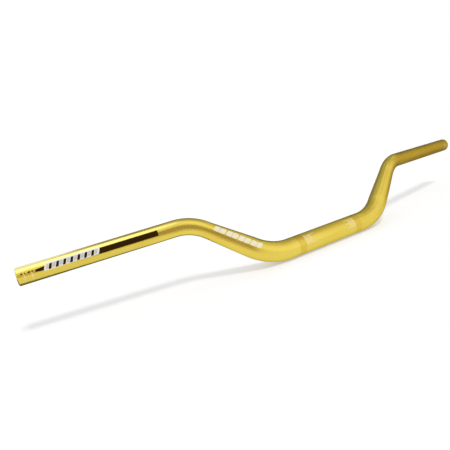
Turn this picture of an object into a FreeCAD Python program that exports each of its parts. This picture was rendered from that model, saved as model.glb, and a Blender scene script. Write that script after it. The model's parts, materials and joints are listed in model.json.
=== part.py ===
import FreeCAD, Part
import math
import os

# Motocross handlebar: one aluminium tube, thickest where the stem holds it, necked down
# to grip size in both uprights and bent twice on each side. It is a single piece.
# The origin is the middle of the stem section. X runs along that section, Y points back
# to the rider and Z up. The uprights lean back in line with the fork.

# The tube's sections
STEM_DIAMETER = 28.6
STEM_WALL = 4.4
GRIP_DIAMETER = 22.2
GRIP_WALL = 4.1

# The centreline of one side, from the middle outwards
STEM_STRAIGHT = 139.0  # between the two lower bends
LOWER_BEND_RADIUS = 84.0
UPRIGHT_ANGLE = 39.3  # from the stem section
UPRIGHT_STRAIGHT = 68.0
UPPER_BEND_RADIUS = 65.0
GRIP_STRAIGHT = 195.0
GRIP_SWEEP_ANGLE = 12.2  # turned back towards the rider
GRIP_RISE_ANGLE = 3.4  # climbing outwards, before the bar leans
LEAN_ANGLE = 27.0  # of the uprights, back from the vertical

# How far inside the upright's ends the neck's cone has its corners, which arcs then round off
NECK_EASE = 3.0

# The cut end of the tube
OUTER_CHAMFER = 1.0
INNER_CHAMFER = 0.6

ORIGIN = FreeCAD.Vector(0, 0, 0)
ALONG_X = FreeCAD.Vector(1, 0, 0)
STEM_RADIUS = STEM_DIAMETER / 2
STEM_BORE_RADIUS = STEM_RADIUS - STEM_WALL
GRIP_RADIUS = GRIP_DIAMETER / 2
GRIP_BORE_RADIUS = GRIP_RADIUS - GRIP_WALL


def direction(sweep, rise):
    """The unit vector that is turned back by sweep and up by rise from the X axis."""
    back = math.radians(sweep)
    up = math.radians(rise)
    return FreeCAD.Vector(math.cos(up) * math.cos(back), math.cos(up) * math.sin(back), math.sin(up))


def ring(centre, along, outer, bore):
    """The tube's section at a point of its centreline."""
    rim = Part.Wire(Part.Circle(centre, along, outer).toShape())
    hole = Part.Wire(Part.Circle(centre, along, bore).toShape())
    return Part.Face([rim, hole])


def bend(start, along, onward, radius, outer, bore):
    """A bend that turns the tube from one direction to the next, and the point where it ends."""
    hinge = along.cross(onward).normalize()
    centre = start + hinge.cross(along) * radius
    turn = math.degrees(along.getAngle(onward))
    tube = ring(start, along, outer, bore).revolve(centre, hinge, turn)
    end = centre + FreeCAD.Rotation(hinge, turn).multVec(start - centre)
    return tube, end


def turned(start, along, edges):
    """The solid that a closed outline makes when it is turned about the tube's axis.

    The outline lies in the XY plane, with X along the tube and Y its radius.
    """
    blank = Part.Face(Part.Wire(edges)).revolve(ORIGIN, ALONG_X, 360)
    blank.Placement = FreeCAD.Placement(start, FreeCAD.Rotation(ALONG_X, along))
    return blank


def line(first, second):
    return Part.LineSegment(FreeCAD.Vector(*first), FreeCAD.Vector(*second)).toShape()


def neck_side(first_radius, last_radius):
    """A cone's side from one radius to the next, with an arc round the corner at each end."""
    first = FreeCAD.Vector(NECK_EASE, first_radius, 0)
    last = FreeCAD.Vector(UPRIGHT_STRAIGHT - NECK_EASE, last_radius, 0)
    slope = (last - first).normalize()
    depth = NECK_EASE * math.tan(slope.getAngle(ALONG_X) / 4)
    inward = (slope - ALONG_X).normalize() * depth
    cone_start = first + slope * NECK_EASE
    cone_end = last - slope * NECK_EASE
    return [
        Part.Arc(first - ALONG_X * NECK_EASE, first + inward, cone_start).toShape(),
        line(cone_start, cone_end),
        Part.Arc(cone_end, last - inward, last + ALONG_X * NECK_EASE).toShape(),
    ]


def neck(start, along):
    """The upright, which narrows from the stem section's size to the grip's."""
    edges = neck_side(STEM_RADIUS, GRIP_RADIUS)
    edges.append(line((UPRIGHT_STRAIGHT, GRIP_RADIUS), (UPRIGHT_STRAIGHT, GRIP_BORE_RADIUS)))
    edges.extend(reversed(neck_side(STEM_BORE_RADIUS, GRIP_BORE_RADIUS)))
    edges.append(line((0, STEM_BORE_RADIUS), (0, STEM_RADIUS)))
    return turned(start, along, edges), start + along * UPRIGHT_STRAIGHT


def grip(start, along):
    """The straight grip section with its chamfered open end."""
    end = GRIP_STRAIGHT
    outline = [
        (0, GRIP_BORE_RADIUS),
        (0, GRIP_RADIUS),
        (end - OUTER_CHAMFER, GRIP_RADIUS),
        (end, GRIP_RADIUS - OUTER_CHAMFER),
        (end, GRIP_BORE_RADIUS + INNER_CHAMFER),
        (end - INNER_CHAMFER, GRIP_BORE_RADIUS),
    ]
    edges = [line(first, second) for first, second in zip(outline, outline[1:] + outline[:1])]
    return turned(start, along, edges), start + along * end


def side():
    """One side of the bar, from the end of the stem section to the cut end."""
    upright_way = direction(0, UPRIGHT_ANGLE)
    grip_way = direction(GRIP_SWEEP_ANGLE, GRIP_RISE_ANGLE)
    start = ALONG_X * (STEM_STRAIGHT / 2)
    lower, knee = bend(start, ALONG_X, upright_way, LOWER_BEND_RADIUS, STEM_RADIUS, STEM_BORE_RADIUS)
    upright, shoulder = neck(knee, upright_way)
    upper, wrist = bend(shoulder, upright_way, grip_way, UPPER_BEND_RADIUS, GRIP_RADIUS, GRIP_BORE_RADIUS)
    handle, tip = grip(wrist, grip_way)
    return [lower, upright, upper, handle], wrist, tip


def stem_section():
    """The straight middle of the bar, which the stem clamps hold."""
    start = ALONG_X * (-STEM_STRAIGHT / 2)
    return ring(start, ALONG_X, STEM_RADIUS, STEM_BORE_RADIUS).extrude(ALONG_X * STEM_STRAIGHT)


def handlebar():
    pieces, wrist, tip = side()
    mirrored = [piece.mirror(ORIGIN, ALONG_X) for piece in pieces]
    bar = stem_section().multiFuse(pieces + mirrored).removeSplitter()
    bar.rotate(ORIGIN, ALONG_X, -LEAN_ANGLE)
    lean = FreeCAD.Rotation(ALONG_X, -LEAN_ANGLE)
    return bar.Solids[0], len(bar.Solids), lean.multVec(wrist), lean.multVec(tip)


bar, solids, wrist, tip = handlebar()
os.makedirs("parts", exist_ok=True)
bar.exportStep("parts/handlebar.step")

box = bar.optimalBoundingBox()
print(f"handlebar: {solids} solid, valid {bar.isValid()}, volume {bar.Volume:.0f} mm3")
print(f"width {box.XLength:.1f}, depth {box.YLength:.1f}, height {box.ZLength:.1f}")
print(f"grip section from {tuple(round(v, 3) for v in wrist)} to {tuple(round(v, 3) for v in tip)}")
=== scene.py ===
import json
import math
import bpy
import bmesh
from mathutils import Matrix, Vector


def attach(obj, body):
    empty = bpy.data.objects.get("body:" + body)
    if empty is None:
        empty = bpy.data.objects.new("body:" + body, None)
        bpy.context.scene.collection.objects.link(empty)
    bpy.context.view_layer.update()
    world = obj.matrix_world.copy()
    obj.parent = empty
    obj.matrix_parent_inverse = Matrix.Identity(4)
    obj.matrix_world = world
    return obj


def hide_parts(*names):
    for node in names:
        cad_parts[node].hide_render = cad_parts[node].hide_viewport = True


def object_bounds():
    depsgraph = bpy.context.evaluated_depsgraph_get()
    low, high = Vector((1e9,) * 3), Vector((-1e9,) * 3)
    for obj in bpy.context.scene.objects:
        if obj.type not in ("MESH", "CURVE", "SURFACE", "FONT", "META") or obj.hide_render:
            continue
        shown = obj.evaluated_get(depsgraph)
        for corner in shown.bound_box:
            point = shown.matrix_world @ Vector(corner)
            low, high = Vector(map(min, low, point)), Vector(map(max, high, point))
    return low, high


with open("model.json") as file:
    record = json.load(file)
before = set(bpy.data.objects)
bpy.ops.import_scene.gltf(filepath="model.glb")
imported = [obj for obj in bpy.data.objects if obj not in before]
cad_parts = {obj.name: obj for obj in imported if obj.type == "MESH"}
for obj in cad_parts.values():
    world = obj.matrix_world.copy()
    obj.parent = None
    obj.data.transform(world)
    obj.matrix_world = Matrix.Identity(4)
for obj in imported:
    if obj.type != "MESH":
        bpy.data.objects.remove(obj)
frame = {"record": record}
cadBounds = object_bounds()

mm = 0.001
scene = bpy.context.scene
mounts = {mount["name"]: mount for mount in frame["record"]["mounts"]}


# The bar's centreline. Its sections and the grips' direction come from the frame's mounts.
path = {
    "lowerBendRadius": 84 * mm,
    "uprightStraight": 68 * mm,
    "upperBendRadius": 65 * mm,
    "uprightAngle": 39.3,
    "lean": 27,              # how far the uprights lie back, in degrees
    "neckEase": 3 * mm,      # how far inside the upright's ends the neck's cone has its corners
    "stemBore": 9.9 * mm,    # radius, under a wall of 4.4 mm
    "endChamfer": 1.0 * mm,
    "boreChamfer": 0.6 * mm,
}
stemHalf = mounts["stem_clamp"]["dims"]["length_mm"] * mm / 2
stemRadius = mounts["stem_clamp"]["dims"]["r_mm"] * mm
gripRadius = mounts["clutch_grip"]["dims"]["r_mm"] * mm
gripStraight = mounts["clutch_grip"]["dims"]["length_mm"] * mm + path["endChamfer"]
gripBore = mounts["clutch_end_bore"]["dims"]["r_mm"] * mm

stemWay = Vector((1, 0, 0))
upLean = Vector((0, math.sin(math.radians(path["lean"])), math.cos(math.radians(path["lean"]))))
rise = math.radians(path["uprightAngle"])
uprightWay = stemWay * math.cos(rise) + upLean * math.sin(rise)
gripWay = Vector(mounts["clutch_grip"]["axis"]).normalized()
lowerTurn = stemWay.angle(uprightWay)
upperTurn = uprightWay.angle(gripWay)

# distances along the centreline, from the middle of the stem section to each change
kneeStart = stemHalf
kneeEnd = kneeStart + path["lowerBendRadius"] * lowerTurn
shoulderStart = kneeEnd + path["uprightStraight"]
shoulderEnd = shoulderStart + path["upperBendRadius"] * upperTurn
tipEnd = shoulderEnd + gripStraight


def bendHinge(along, onward, start, radius):
    hinge = along.cross(onward).normalized()
    return hinge, start + hinge.cross(along) * radius


def bendPoint(along, onward, start, radius, distance):
    hinge, centre = bendHinge(along, onward, start, radius)
    turn = Matrix.Rotation(distance / radius, 3, hinge)
    return centre + turn @ (start - centre), turn @ along


# each bend: the ways before and after it, where it starts, and its radius
kneeBend = (stemWay, uprightWay, stemWay * stemHalf, path["lowerBendRadius"])
kneeEndPoint = bendPoint(*kneeBend, kneeEnd - kneeStart)[0]
shoulderStartPoint = kneeEndPoint + uprightWay * path["uprightStraight"]
shoulderBend = (uprightWay, gripWay, shoulderStartPoint, path["upperBendRadius"])
shoulderEndPoint = bendPoint(*shoulderBend, shoulderEnd - shoulderStart)[0]


def neckRadius(share, first, last):
    # a cone from the first radius to the last, with an arc round the corner at each end
    length, ease = path["uprightStraight"], path["neckEase"]
    slope = math.atan((first - last) / (length - 2 * ease))
    arcRadius = ease / math.tan(slope / 2)
    arcLength = ease * (1 + math.cos(slope))
    fromStart, fromEnd = share * length, (1 - share) * length
    if fromStart < arcLength:
        return first - arcRadius + math.sqrt(arcRadius ** 2 - fromStart ** 2)
    if fromEnd < arcLength:
        return last + arcRadius - math.sqrt(arcRadius ** 2 - fromEnd ** 2)
    return first - (fromStart - ease) * math.tan(slope)


def station(distance):
    # point, direction and outer radius at a signed distance along the centreline from the middle
    s = abs(distance)
    radius = gripRadius
    if s <= kneeStart:
        point, way, radius = stemWay * s, stemWay, stemRadius
    elif s <= kneeEnd:
        point, way = bendPoint(*kneeBend, s - kneeStart)
        radius = stemRadius
    elif s <= shoulderStart:
        point, way = kneeEndPoint + uprightWay * (s - kneeEnd), uprightWay
        radius = neckRadius((s - kneeEnd) / path["uprightStraight"], stemRadius, gripRadius)
    elif s <= shoulderEnd:
        point, way = bendPoint(*shoulderBend, s - shoulderStart)
    else:
        point, way = shoulderEndPoint + gripWay * (s - shoulderEnd), gripWay
    if distance < 0:
        point = Vector((-point.x, point.y, point.z))
        way = Vector((way.x, -way.y, -way.z))
    return point, way, radius


def onBar(distance, around, lift):
    # around is the way round the bar's skin, from the side facing the front wheel up towards the top
    point, way, radius = station(distance)
    up = (Vector((0, 0, 1)) - way * way.z).normalized()
    front = way.cross(up)
    turn = around / radius
    return point + (front * math.cos(turn) + up * math.sin(turn)) * (radius + lift)


def linkMesh(name, mesh, material):
    data = bpy.data.meshes.new(name)
    mesh.to_mesh(data)
    mesh.free()
    data.materials.append(material)
    linked = bpy.data.objects.new(name, data)
    scene.collection.objects.link(linked)
    return linked


def addPiece(name, mesh, material, sharpAngle):
    piece = linkMesh(name, mesh, material)
    for face in piece.data.polygons:
        face.use_smooth = True
    piece.data.set_sharp_from_angle(angle=math.radians(sharpAngle))
    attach(piece, "root")
    return piece


# Materials

def newMaterial(name):
    material = bpy.data.materials.new(name)
    material.use_nodes = True
    nodes = material.node_tree.nodes
    return material, nodes, material.node_tree.links, nodes["Principled BSDF"]


def noiseOnObject(nodes, links, scale, detail):
    where = nodes.new("ShaderNodeTexCoord")
    noise = nodes.new("ShaderNodeTexNoise")
    noise.inputs["Scale"].default_value = scale
    noise.inputs["Detail"].default_value = detail
    links.new(where.outputs["Object"], noise.inputs["Vector"])
    return noise.outputs["Fac"]


def spread(nodes, links, value, low, high, fromLow=0.3, fromHigh=0.7):
    mapped = nodes.new("ShaderNodeMapRange")
    mapped.inputs["From Min"].default_value = fromLow
    mapped.inputs["From Max"].default_value = fromHigh
    mapped.inputs["To Min"].default_value = low
    mapped.inputs["To Max"].default_value = high
    links.new(value, mapped.inputs["Value"])
    return mapped.outputs["Result"]


def blendColours(nodes, links, share, first, second):
    mix = nodes.new("ShaderNodeMix")
    mix.data_type = "RGBA"
    links.new(share, mix.inputs["Factor"])
    for socket, colour in ((mix.inputs["A"], first), (mix.inputs["B"], second)):
        if isinstance(colour, tuple):
            socket.default_value = (*colour, 1)
        else:
            links.new(colour, socket)
    return mix.outputs["Result"]


def doMath(nodes, links, operation, first, second=None):
    node = nodes.new("ShaderNodeMath")
    node.operation = operation
    for socket, value in zip(node.inputs, (first, second)):
        if isinstance(value, (int, float)):
            socket.default_value = value
        elif value is not None:
            links.new(value, socket)
    return node.outputs[0]


def addBump(nodes, links, shader, height, depth, strength):
    bump = nodes.new("ShaderNodeBump")
    bump.inputs["Strength"].default_value = strength
    bump.inputs["Distance"].default_value = depth
    links.new(height, bump.inputs["Height"])
    links.new(bump.outputs["Normal"], shader.inputs["Normal"])


goldFinish = {
    "colour": (0.80, 0.63, 0.096),
    "deepColour": (0.77, 0.58, 0.076),
    "bandColour": (0.71, 0.515, 0.062),
    "edgeTint": (0.47, 0.43, 0.10),
    "roughness": (0.23, 0.29),
    "coat": 0.35,
    "coatRoughness": 0.22,
    "coatIor": 1.5,
    "cloudScale": 22,           # slow drift between the two golds
    "cloudDetail": 4,
    "smudgeScale": 60,          # where the skin is a little smoother or duller
    "smudgeDetail": 5,
    "grainScale": 5200,         # the blasted skin under the anodising
    "grainDetail": 2,
    "grainDepth": 0.012 * mm,
    "grainStrength": 0.6,
    "bandInner": 48.5 * mm,
    "bandOuter": 60.5 * mm,
    "bandBlur": 0.4 * mm,
}


def clampBand(nodes, links, look):
    # 1 on the two darker seats of the clamps, 0 on the rest of the bar
    where = nodes.new("ShaderNodeTexCoord")
    split = nodes.new("ShaderNodeSeparateXYZ")
    links.new(where.outputs["Object"], split.inputs["Vector"])
    side = doMath(nodes, links, "ABSOLUTE", split.outputs["X"])
    middle = (look["bandInner"] + look["bandOuter"]) / 2
    half = (look["bandOuter"] - look["bandInner"]) / 2
    away = doMath(nodes, links, "ABSOLUTE", doMath(nodes, links, "SUBTRACT", side, middle))
    return spread(nodes, links, away, 1, 0, half - look["bandBlur"], half + look["bandBlur"])


def goldAnodised():
    look = goldFinish
    material, nodes, links, shader = newMaterial("goldAnodised")
    cloud = spread(nodes, links, noiseOnObject(nodes, links, look["cloudScale"], look["cloudDetail"]), 0, 1)
    colour = blendColours(nodes, links, cloud, look["colour"], look["deepColour"])
    colour = blendColours(nodes, links, clampBand(nodes, links, look), colour, look["bandColour"])
    links.new(colour, shader.inputs["Base Color"])
    shader.inputs["Metallic"].default_value = 1
    shader.inputs["Specular Tint"].default_value = (*look["edgeTint"], 1)
    shader.inputs["Coat Weight"].default_value = look["coat"]
    shader.inputs["Coat Roughness"].default_value = look["coatRoughness"]
    shader.inputs["Coat IOR"].default_value = look["coatIor"]
    smudge = noiseOnObject(nodes, links, look["smudgeScale"], look["smudgeDetail"])
    links.new(spread(nodes, links, smudge, *look["roughness"]), shader.inputs["Roughness"])
    grain = noiseOnObject(nodes, links, look["grainScale"], look["grainDetail"])
    addBump(nodes, links, shader, grain, look["grainDepth"], look["grainStrength"])
    return material


# each print: its two mottled colours, how dull it is and how much it shines
inks = {
    "darkInk": ((0.023, 0.009, 0.0004), (0.031, 0.013, 0.0006), 0.36, 0.03),
    "silverInk": ((0.50, 0.47, 0.48), (0.45, 0.42, 0.44), 0.4, 0.4),
    "whiteInk": ((0.72, 0.70, 0.62), (0.64, 0.62, 0.53), 0.45, 0.4),
    "creamInk": ((0.76, 0.71, 0.54), (0.69, 0.64, 0.46), 0.45, 0.4),
    "lasered": ((0.82, 0.65, 0.36), (0.77, 0.60, 0.31), 0.5, 0.4),
}
inkSurface = {
    "mottleScale": 900,
    "mottleDetail": 3,
    "grainStrength": 0.4,      # the bar's own grain, seen through the print
}


def printedInk(name):
    first, second, roughness, gloss = inks[name]
    material, nodes, links, shader = newMaterial(name)
    mottle = noiseOnObject(nodes, links, inkSurface["mottleScale"], inkSurface["mottleDetail"])
    colour = blendColours(nodes, links, spread(nodes, links, mottle, 0, 1), first, second)
    links.new(colour, shader.inputs["Base Color"])
    shader.inputs["Roughness"].default_value = roughness
    shader.inputs["Specular IOR Level"].default_value = gloss
    grain = noiseOnObject(nodes, links, goldFinish["grainScale"], goldFinish["grainDetail"])
    addBump(nodes, links, shader, grain, goldFinish["grainDepth"], inkSurface["grainStrength"])
    return material


gold = goldAnodised()
darkInk, silverInk, whiteInk, creamInk, lasered = (printedInk(name) for name in inks)
print("materials made")


# The tube

tube = {
    "around": 96,
    "stemRings": 8,
    "lowerBendRings": 24,
    "neckRings": 24,
    "upperBendRings": 22,
    "gripRings": 24,
    "merge": 0.01 * mm,      # closer than this is one point
    "sharpAngle": 25,
}


def ringEdges(found):
    verts = {part for part in found if isinstance(part, bmesh.types.BMVert)}
    return [part for part in found if isinstance(part, bmesh.types.BMEdge) and set(part.verts) <= verts]


def pull(mesh, edges, move, grow=1.0):
    # carries a ring on by a straight step, and scales it about its own centre
    edges = ringEdges(bmesh.ops.extrude_edge_only(mesh, edges=edges)["geom"])
    verts = list({vert for edge in edges for vert in edge.verts})
    bmesh.ops.translate(mesh, verts=verts, vec=move)
    centre = sum((vert.co for vert in verts), Vector()) / len(verts)
    bmesh.ops.scale(mesh, verts=verts, vec=(grow, grow, grow), space=Matrix.Translation(-centre))
    return edges


def pullAlong(mesh, edges, move, steps):
    for _ in range(steps):
        edges = pull(mesh, edges, move / steps)
    return edges


def spinRing(mesh, edges, along, onward, start, radius, steps):
    hinge, centre = bendHinge(along, onward, start, radius)
    spun = bmesh.ops.spin(
        mesh, geom=edges, cent=centre, axis=hinge, dvec=(0, 0, 0), angle=along.angle(onward),
        steps=steps, use_merge=False, use_normal_flip=False, use_duplicate=False,
    )
    return ringEdges(spun["geom_last"])


def sweepWall(mesh, thickRadius, thinRadius, endStep):
    # one wall of the tube's right half, from its middle to the cut end
    turnToX = Matrix.Rotation(math.radians(90), 4, "Y")
    made = bmesh.ops.create_circle(mesh, segments=tube["around"], radius=thickRadius, matrix=turnToX)
    edges = list({edge for vert in made["verts"] for edge in vert.link_edges})
    edges = pullAlong(mesh, edges, stemWay * stemHalf, tube["stemRings"])
    edges = spinRing(mesh, edges, *kneeBend, tube["lowerBendRings"])
    radius, neckStep = thickRadius, uprightWay * path["uprightStraight"] / tube["neckRings"]
    for step in range(1, tube["neckRings"] + 1):
        nextRadius = neckRadius(step / tube["neckRings"], thickRadius, thinRadius)
        edges = pull(mesh, edges, neckStep, nextRadius / radius)
        radius = nextRadius
    edges = spinRing(mesh, edges, *shoulderBend, tube["upperBendRings"])
    edges = pullAlong(mesh, edges, gripWay * (gripStraight - abs(endStep)), tube["gripRings"])
    return pull(mesh, edges, gripWay * abs(endStep), (thinRadius + endStep) / thinRadius)


def makeTube():
    mesh = bmesh.new()
    outerEnd = sweepWall(mesh, stemRadius, gripRadius, -path["endChamfer"])
    sweepWall(mesh, path["stemBore"], gripBore, path["boreChamfer"])
    # the cut face is drawn in from the outer wall's last ring until it meets the bore's
    pull(mesh, outerEnd, Vector(), (gripBore + path["boreChamfer"]) / (gripRadius - path["endChamfer"]))
    whole = mesh.verts[:] + mesh.edges[:] + mesh.faces[:]
    bmesh.ops.mirror(mesh, geom=whole, axis="X", merge_dist=tube["merge"])
    bmesh.ops.remove_doubles(mesh, verts=mesh.verts[:], dist=tube["merge"])
    bmesh.ops.recalc_face_normals(mesh, faces=mesh.faces[:])
    piece = addPiece("barTube", mesh, gold, tube["sharpAngle"])
    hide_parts("handlebar")


makeTube()
print("tube made")


# Prints and marks: drawn flat, as distance along the bar and way round its skin, then wrapped on

film = {
    "height": 0.05 * mm,      # one layer of print
    "root": 0.03 * mm,        # how far its underside is sunk into the tube
    "sliceAlong": 2 * mm,
    "sliceAround": 0.6 * mm,
    "merge": 0.0005 * mm,
    "cornerSteps": 4,
    "etchedLayers": 0.4,      # a laser mark stands lower than ink
    "sharpAngle": 40,
}


def drawPatch(mesh, start, end, low, high, slant=0.0, corner=0.0, startShare=1.0):
    # slant moves the upper edge along the bar; startShare is how much of the height the start keeps
    made = bmesh.ops.create_grid(mesh, x_segments=1, y_segments=1, size=0.5)
    for vert in made["verts"]:
        across, upward = vert.co.x + 0.5, vert.co.y
        height = (high - low) * (startShare + (1 - startShare) * across)
        vert.co.x = start + (end - start) * across + slant * upward
        vert.co.y = (low + high) / 2 + height * upward
    if corner:
        bmesh.ops.bevel(
            mesh, geom=made["verts"], offset=corner, offset_type="OFFSET", segments=film["cornerSteps"],
            profile=0.5, affect="VERTICES", material=-1,
        )


def sliceAcross(mesh, axis, step):
    # cuts the drawing into strips narrow enough to follow the bar
    low = min(vert.co[axis] for vert in mesh.verts)
    high = max(vert.co[axis] for vert in mesh.verts)
    normal = Vector((0, 0, 0))
    normal[axis] = 1
    for number in range(1, math.ceil((high - low) / step)):
        whole = mesh.verts[:] + mesh.edges[:] + mesh.faces[:]
        place = normal * (low + number * step)
        bmesh.ops.bisect_plane(mesh, geom=whole, dist=film["merge"], plane_co=place, plane_no=normal)


def finishPrint(name, mesh, material, layers=1.0, bends=False):
    # layers is how high it stands; bends is for a print that lies partly in a bend
    lift = film["height"] * layers
    sliceAcross(mesh, 1, film["sliceAround"])
    if bends:
        sliceAcross(mesh, 0, film["sliceAlong"])
    for vert in mesh.verts:
        vert.co = onBar(vert.co.x, vert.co.y, lift)
    mesh.normal_update()
    bmesh.ops.solidify(mesh, geom=mesh.faces[:], thickness=lift + film["root"])
    bmesh.ops.remove_doubles(mesh, verts=mesh.verts[:], dist=film["merge"])
    addPiece(name, mesh, material, film["sharpAngle"])


def fromLeftEnd(distance):
    return -tipEnd + distance


gripStripe = {
    "pointStart": 21.8 * mm,   # all from the cut end of the grip
    "pointEnd": 33.0 * mm,
    "start": 95.6 * mm,        # just under the panel's end
    "end": 171.3 * mm,
    "low": -0.1 * mm,
    "high": 7.2 * mm,
    "corner": 0.8 * mm,
    "pointLow": 0.7 * mm,
    "pointHigh": 5.9 * mm,
    "pointShare": 0.5,         # how blunt the point is
}


def makeGripStripe():
    look = gripStripe
    mesh = bmesh.new()
    start, end = fromLeftEnd(look["start"]), fromLeftEnd(look["end"])
    drawPatch(mesh, start, end, look["low"], look["high"], corner=look["corner"])
    start, end = fromLeftEnd(look["pointStart"]), fromLeftEnd(look["pointEnd"])
    drawPatch(mesh, start, end, look["pointLow"], look["pointHigh"], startShare=look["pointShare"])
    finishPrint("gripStripe", mesh, darkInk)


gripPanel = {
    "start": 32.5 * mm,
    "end": 97.6 * mm,
    "low": 0.1 * mm,
    "high": 8.6 * mm,
    "slant": 3.5 * mm,         # how far the panel's upper edge lies inward
    "corner": 1.2 * mm,
    "slots": 7,
    "firstSlot": 39.5 * mm,
    "slotPitch": 8.34 * mm,
    "slotWidth": 3.3 * mm,
    "slotLow": 0.6 * mm,
    "slotHigh": 7.0 * mm,
    "slotCorner": 0.7 * mm,
    "rim": 0.8 * mm,           # what stays free beside each silver fill
    "fillInset": 1.6 * mm,
    "fillCorner": 0.5 * mm,
}


def makeGripPanel():
    look = gripPanel
    lean = look["slant"] / (look["high"] - look["low"])
    middle = (look["low"] + look["high"]) / 2
    start, end = fromLeftEnd(look["start"]), fromLeftEnd(look["end"])
    firstPlace = fromLeftEnd(look["firstSlot"])
    slotPlaces = [firstPlace + number * look["slotPitch"] for number in range(look["slots"])]
    panel, slots, fills = bmesh.new(), bmesh.new(), bmesh.new()
    drawPatch(panel, start, end, look["low"], look["high"], look["slant"], look["corner"])

    def drawInside(mesh, left, right, low, high, corner):
        # keeps the panel's slant, whatever the height of the patch
        shift = lean * ((low + high) / 2 - middle)
        drawPatch(mesh, left + shift, right + shift, low, high, lean * (high - low), corner)

    half = look["slotWidth"] / 2
    for place in slotPlaces:
        drawInside(slots, place - half, place + half, look["slotLow"], look["slotHigh"], look["slotCorner"])
    aside = half + look["rim"]
    low, high = look["low"] + look["fillInset"], look["high"] - look["fillInset"]
    for left, right in zip([start] + slotPlaces, slotPlaces + [end]):
        drawInside(fills, left + aside, right - aside, low, high, look["fillCorner"])
    finishPrint("gripPanel", panel, whiteInk, layers=2)
    finishPrint("gripPanelSlots", slots, darkInk, layers=3)
    finishPrint("gripPanelFills", fills, silverInk, layers=3)


uprightBars = {
    "pairs": 4,
    "start": -7.5 * mm,        # from the bend's end outwards, so the first bars lie inside the bend
    "end": 60.7 * mm,
    "barGap": 1.0 * mm,
    "pairGap": 1.9 * mm,
    "low": 4.0 * mm,
    "high": 12.0 * mm,
    "slant": 2.6 * mm,
    "corner": 0.9 * mm,
}


def makeUprightBars():
    look = uprightBars
    mesh = bmesh.new()
    pitch = (look["end"] - look["start"] + look["pairGap"]) / look["pairs"]
    width = (pitch - look["pairGap"] - look["barGap"]) / 2
    for pair in range(look["pairs"]):
        for second in (0, 1):
            near = kneeEnd + look["start"] + pair * pitch + second * (width + look["barGap"])
            drawPatch(mesh, -near - width, -near, look["low"], look["high"], look["slant"], look["corner"])
    finishPrint("uprightBars", mesh, creamInk, bends=True)


clampScale = {
    "outer": 48.2 * mm,
    "long": 19 * mm,
    "short": 12 * mm,
    "longEvery": 4,
    "lines": 9,
    "low": 1.2 * mm,
    "step": 1.6 * mm,
    "line": 0.65 * mm,
}


def makeClampScales():
    look = clampScale
    mesh = bmesh.new()
    for number in range(look["lines"]):
        low = look["low"] + number * look["step"]
        length = look["long"] if number % look["longEvery"] == 0 else look["short"]
        drawPatch(mesh, -look["outer"], -look["outer"] + length, low, low + look["line"])
        drawPatch(mesh, look["outer"] - length, look["outer"], low, low + look["line"])
    finishPrint("clampScales", mesh, lasered, layers=film["etchedLayers"])


cutGuide = {
    "places": (8.9 * mm, 17.8 * mm),   # where the bar may be cut shorter, from its end
    "width": 0.9 * mm,
    "lineLow": -6.5 * mm,
    "lineHigh": 3.1 * mm,
    "dashLow": 3.3 * mm,
    "dashHigh": 5.1 * mm,
    "dashSlant": 0.8 * mm,
    "dashCorner": 0.3 * mm,
    "dashes": ((5.2 * mm, 7.4 * mm), (9.6 * mm, 10.6 * mm), (13.4 * mm, 16.3 * mm), (17.9 * mm, 19.3 * mm)),
}


def makeCutGuides():
    look = cutGuide
    lines, dashes = bmesh.new(), bmesh.new()
    half = look["width"] / 2
    for sign in (-1, 1):
        for place in look["places"]:
            middle = sign * (tipEnd - place)
            drawPatch(lines, middle - half, middle + half, look["lineLow"], look["lineHigh"])
    for start, end in look["dashes"]:
        drawPatch(
            dashes, fromLeftEnd(start), fromLeftEnd(end), look["dashLow"], look["dashHigh"],
            look["dashSlant"], look["dashCorner"],
        )
    finishPrint("cutLines", lines, lasered, layers=film["etchedLayers"])
    finishPrint("cutDashes", dashes, darkInk)


makeGripStripe()
makeGripPanel()
makeUprightBars()
makeClampScales()
makeCutGuides()
print("prints made")


# Floor, lights and camera

def onlyReflected(card):
    # the cards shape the metal's reflections, and give no light of their own
    card.visible_camera = False
    card.visible_diffuse = False
    card.visible_shadow = False
    card.visible_transmission = False


def plainGlow(name, tint, level):
    material = bpy.data.materials.new(name)
    material.use_nodes = True
    nodes, links = material.node_tree.nodes, material.node_tree.links
    nodes.remove(nodes["Principled BSDF"])
    light = nodes.new("ShaderNodeEmission")
    light.inputs["Color"].default_value = (*tint, 1)
    light.inputs["Strength"].default_value = level
    links.new(light.outputs["Emission"], nodes["Material Output"].inputs["Surface"])
    return material


# The cards, side by side along each wall. "turn" sets a whole side, in degrees about X, Y and Z.
white = (1, 1, 1)
warm = (1, 0.84, 0.72)
cool = (0.93, 1.0, 1.8)
cold = (0.91, 1.03, 3.4)
ceiling = {
    "turn": (0, 0, 0),
    "main": {"place": (-0.66, 0.03, 1.30), "size": (1.22, 0.92), "level": 2.0, "tint": cool},
    "end": {"place": (-0.77, 0.87, 1.30), "size": (1.04, 0.76), "level": 1.2, "tint": cold},
    "middle": {"place": (-0.06, 0.88, 1.31), "size": (0.38, 0.84), "level": 0.42, "tint": white},
    "overBend": {"place": (0.44, -0.78, 1.305), "size": (0.80, 0.42), "level": 1.3, "tint": white},
    "right": {"place": (0.68, 0.70, 1.31), "size": (1.1, 1.2), "level": 0.5, "tint": white},
    "rightNear": {"place": (0.62, -0.275, 1.31), "size": (0.36, 0.75), "level": 0.92, "tint": white},
    "rightEdge": {"place": (1.00, -0.275, 1.31), "size": (0.40, 0.75), "level": 0.76, "tint": warm},
}
backWall = {
    "turn": (90, 0, 0),
    "left": {"place": (-0.70, 1.31, 0.78), "size": (1.30, 1.0), "level": 1.7, "tint": cold},
    "right": {"place": (0.60, 1.30, 0.66), "size": (1.4, 1.3), "level": 0.34, "tint": white},
}
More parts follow.
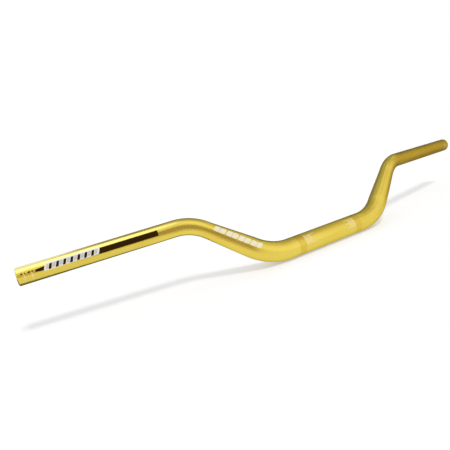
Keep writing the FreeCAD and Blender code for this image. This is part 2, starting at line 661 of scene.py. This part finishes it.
frontWall = {
    "turn": (90, 0, 0),
    "leftEnd": {"place": (-1.045, -1.30, 0.50), "size": (0.5, 1.0), "level": 0.7, "tint": warm},
    "left": {"place": (-0.37, -1.30, 0.50), "size": (0.85, 1.0), "level": 0.42, "tint": warm},
    "right": {"place": (0.66, -1.30, 0.66), "size": (1.15, 1.3), "level": 1.15, "tint": white},
}
rightWall = {
    "turn": (0, 90, 0),
    "near": {"place": (1.20, -0.135, 0.41), "size": (0.82, 0.57), "level": 0.64, "tint": warm},
    "middle": {"place": (1.20, 0.285, 0.41), "size": (0.82, 0.27), "level": 0.46, "tint": warm},
    "nearHigh": {"place": (1.20, -0.16, 1.055), "size": (0.47, 0.38), "level": 0.65, "tint": white},
    "far": {"place": (1.20, 0.86, 0.38), "size": (0.76, 0.88), "level": 0.28, "tint": white},
    "farHigh": {"place": (1.20, 0.82, 1.03), "size": (0.54, 0.96), "level": 0.60, "tint": white},
}
ground = {
    "turn": (0, 0, 0),
    "back": {"place": (0.05, 0.6775, -0.012), "size": (1.4, 1.205), "level": 0.15, "tint": white},
    "right": {"place": (0.87, -0.10, -0.011), "size": (1.02, 0.8), "level": 0.60, "tint": warm},
    "underGrip": {"place": (0.43, 0.14, -0.010), "size": (0.26, 0.24), "level": 0.42, "tint": warm},
    "left": {"place": (-0.38, 0.005, -0.012), "size": (0.28, 0.14), "level": 0.92, "tint": white},
    "front": {"place": (-0.265, -0.73, -0.011), "size": (0.27, 1.14), "level": 0.42, "tint": warm},
    "underBend": {"place": (-0.18, -0.105, -0.011), "size": (0.10, 0.11), "level": 0.74, "tint": warm},
}
cards = {
    "ceiling": ceiling,
    "backWall": backWall,
    "frontWall": frontWall,
    "rightWall": rightWall,
    "ground": ground,
}


def makeCard(name, look, turns):
    mesh = bmesh.new()
    bmesh.ops.create_grid(mesh, x_segments=1, y_segments=1, size=0.5)
    bmesh.ops.scale(mesh, verts=mesh.verts[:], vec=(*look["size"], 1))
    for axis, degrees in zip("XYZ", turns):
        turn = Matrix.Rotation(math.radians(degrees), 3, axis)
        bmesh.ops.rotate(mesh, verts=mesh.verts[:], cent=(0, 0, 0), matrix=turn)
    bmesh.ops.translate(mesh, verts=mesh.verts[:], vec=look["place"])
    card = linkMesh(name, mesh, plainGlow(name, look["tint"], look["level"]))
    onlyReflected(card)


def makeCards():
    for side, looks in cards.items():
        for name, look in looks.items():
            if name != "turn":
                makeCard(f"{side}_{name}", look, looks["turn"])


floorLook = {
    "size": 12.0,
    "colour": (0.93, 0.93, 0.935),
    "roughness": 0.9,
    "gloss": 0.1,
    "ownShading": 0.6,       # how much of the floor's own shading shows, the rest is plain white
    "fadeFrom": 0.55,        # metres from the middle, where that shading starts to fade
    "fadeTo": 1.1,
}


def seenMirrored(nodes, links, rays):
    # 1 for what the camera sees mirrored in the metal, not above 0 for what a dull surface gathers
    glossy, through = rays.outputs["Is Glossy Ray"], rays.outputs["Is Transmission Ray"]
    mirrored = doMath(nodes, links, "MAXIMUM", glossy, through)
    gathered = doMath(nodes, links, "MINIMUM", rays.outputs["Diffuse Depth"], 1)
    return doMath(nodes, links, "SUBTRACT", mirrored, gathered)


def makeFloor():
    mesh = bmesh.new()
    bmesh.ops.create_grid(mesh, x_segments=1, y_segments=1, size=floorLook["size"])
    bmesh.ops.translate(mesh, verts=mesh.verts[:], vec=(0, 0, cadBounds[0][2]))
    material, nodes, links, shader = newMaterial("paleFloor")
    linkMesh("floor", mesh, material)
    shader.inputs["Base Color"].default_value = (*floorLook["colour"], 1)
    shader.inputs["Roughness"].default_value = floorLook["roughness"]
    shader.inputs["Specular IOR Level"].default_value = floorLook["gloss"]
    where = nodes.new("ShaderNodeTexCoord")
    length = nodes.new("ShaderNodeVectorMath")
    length.operation = "LENGTH"
    links.new(where.outputs["Object"], length.inputs[0])
    fade = spread(
        nodes, links, length.outputs["Value"], 1 - floorLook["ownShading"], 1,
        floorLook["fadeFrom"], floorLook["fadeTo"],
    )
    rays = nodes.new("ShaderNodeLightPath")
    share = doMath(nodes, links, "MULTIPLY", fade, rays.outputs["Is Camera Ray"])
    share = doMath(nodes, links, "MAXIMUM", share, seenMirrored(nodes, links, rays))
    glow = nodes.new("ShaderNodeEmission")
    mix = nodes.new("ShaderNodeMixShader")
    links.new(share, mix.inputs["Fac"])
    links.new(shader.outputs["BSDF"], mix.inputs[1])
    links.new(glow.outputs["Emission"], mix.inputs[2])
    links.new(mix.outputs["Shader"], nodes["Material Output"].inputs["Surface"])


lighting = {
    "fill": 0.75,                     # from all round, on what isn't seen directly
    "sunWay": (0.04, -0.48, 1.0),     # from the bar towards the lamp
    "sunStrength": 1.3,
    "sunSoftness": 12,                # degrees across, for soft shadows
}


def makeLights():
    world = bpy.data.worlds.new("studio")
    scene.world = world
    world.use_nodes = True
    nodes, links = world.node_tree.nodes, world.node_tree.links
    background = nodes["Background"]
    background.inputs["Color"].default_value = (1, 1, 1, 1)
    rays = nodes.new("ShaderNodeLightPath")
    mirrored = seenMirrored(nodes, links, rays)
    direct = doMath(nodes, links, "MAXIMUM", rays.outputs["Is Camera Ray"], mirrored)
    level = spread(nodes, links, direct, lighting["fill"], 1, 0, 1)
    links.new(level, background.inputs["Strength"])
    data = bpy.data.lights.new("sun", "SUN")
    data.energy = lighting["sunStrength"]
    data.angle = math.radians(lighting["sunSoftness"])
    sun = bpy.data.objects.new("sun", data)
    scene.collection.objects.link(sun)
    sun.rotation_mode = "QUATERNION"
    sun.rotation_quaternion = Vector(lighting["sunWay"]).to_track_quat("Z", "Y")
    sun.visible_glossy = False


shot = {
    "place": (-0.46782, -0.53096, 0.18727),
    "heading": 29.909,   # turned from +Y towards +X
    "down": 11.706,
    "roll": -11.396,
    "lens": 39.487,
    "sensor": 36,
}


def makeCamera():
    data = bpy.data.cameras.new("camera")
    data.lens = shot["lens"]
    data.sensor_width = shot["sensor"]
    camera = bpy.data.objects.new("camera", data)
    scene.collection.objects.link(camera)
    turns = (
        Matrix.Rotation(math.radians(-shot["heading"]), 4, "Z")
        @ Matrix.Rotation(math.radians(90 - shot["down"]), 4, "X")
        @ Matrix.Rotation(math.radians(shot["roll"]), 4, "Z")
    )
    camera.matrix_world = Matrix.Translation(shot["place"]) @ turns
    scene.camera = camera


makeFloor()
makeCards()
makeLights()
makeCamera()
scene.view_settings.view_transform = "Standard"
print("stage made")
